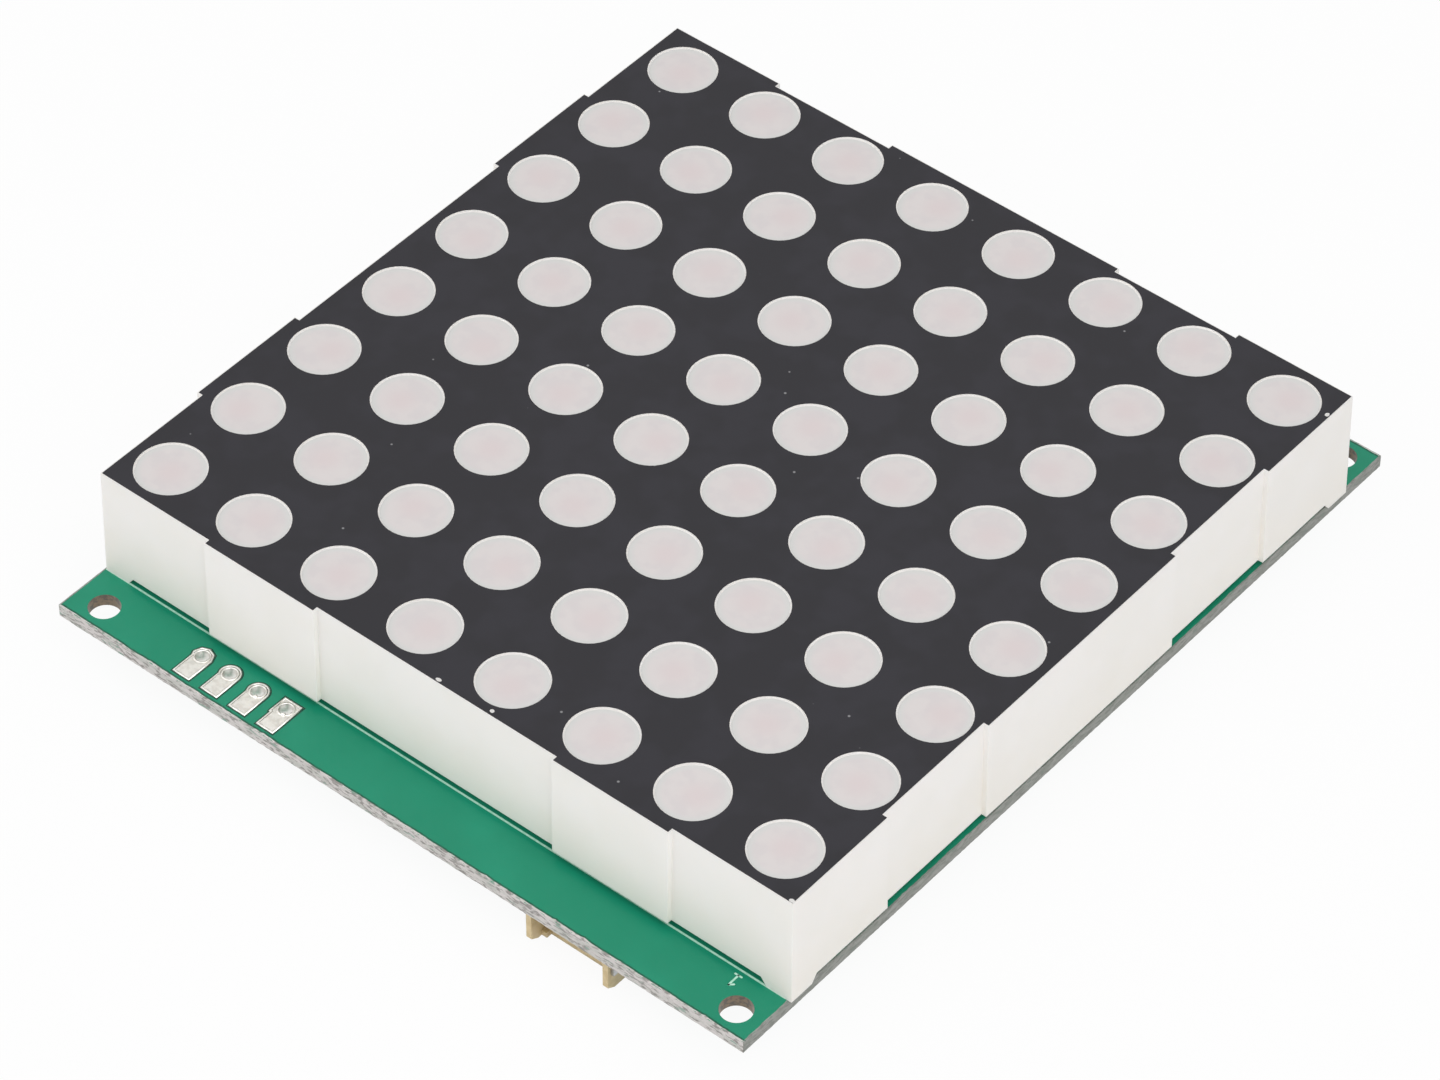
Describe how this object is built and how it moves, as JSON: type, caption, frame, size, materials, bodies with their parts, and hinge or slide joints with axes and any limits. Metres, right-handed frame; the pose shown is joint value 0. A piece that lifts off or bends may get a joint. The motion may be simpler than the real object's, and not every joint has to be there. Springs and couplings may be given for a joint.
{
  "type": "led dot matrix",
  "caption": "Square full-colour LED dot matrix with white cup housing and black face, soldered to a green driver board with a cable socket.",
  "frame": {"origin": "centre of the four mounting holes, on the underside of the driver board", "axes": "+Z out of the display face, +Y along the board's length away from the header pads, +X along the board's width"},
  "size_m": [0.0607, 0.0694, 0.0136],
  "materials": {
    "face_ink": "matt black printed face",
    "housing_plastic": "white moulded polycarbonate",
    "milky_epoxy": "cast milky epoxy",
    "die_red": "light-emitting die",
    "die_green": "light-emitting die",
    "die_blue": "light-emitting die",
    "white_laminate": "white solder mask on glass-epoxy laminate",
    "clear_epoxy": "poured epoxy",
    "green_laminate": "green solder mask on glass-epoxy laminate",
    "solder": "tin solder",
    "tinned_copper": "tinned copper",
    "tinned_steel": "tinned wire",
    "socket_nylon": "natural nylon",
    "contact_metal": "tinned phosphor bronze",
    "mould_compound": "black epoxy mould compound",
    "lead_tin": "matt tin plating",
    "capacitor_ceramic": "fired ceramic",
    "resistor_glaze": "black glaze on ceramic"
  },
  "bodies": {
    "root": {"face_film": "face_ink", "reflector_housing": "housing_plastic", "diffuser_dots": "milky_epoxy", "red_dies": "die_red", "green_dies": "die_green", "blue_dies": "die_blue", "die_board": "white_laminate", "potting": "clear_epoxy", "front_pin_row": "tinned_steel", "rear_pin_row": "tinned_steel", "driver_board": "green_laminate", "front_pin_solder": "solder", "rear_pin_solder": "solder", "header_pads": "tinned_copper", "socket_housing": "socket_nylon", "socket_contacts": "contact_metal", "socket_anchor_left": "lead_tin", "socket_anchor_right": "lead_tin", "controller_body": "mould_compound", "controller_leads": "lead_tin", "dot_driver_left_body": "mould_compound", "dot_driver_left_leads": "lead_tin", "dot_driver_right_body": "mould_compound", "dot_driver_right_leads": "lead_tin", "row_switch_1": "mould_compound", "row_switch_2": "mould_compound", "row_switch_3": "mould_compound", "row_switch_4": "mould_compound", "row_switch_5": "mould_compound", "row_switch_6": "mould_compound", "row_switch_7": "mould_compound", "row_switch_8": "mould_compound", "row_switch_leads": "lead_tin", "regulator_body": "mould_compound", "regulator_leads": "lead_tin", "input_capacitor": "capacitor_ceramic", "output_capacitor": "capacitor_ceramic", "bulk_capacitor_ends": "lead_tin", "decoupling_capacitors": "capacitor_ceramic", "decoupling_capacitor_ends": "lead_tin", "gate_resistors": "resistor_glaze", "pull_up_resistors": "resistor_glaze", "current_set_resistors": "resistor_glaze", "resistor_ends": "lead_tin"}
  },
  "joints": []
}
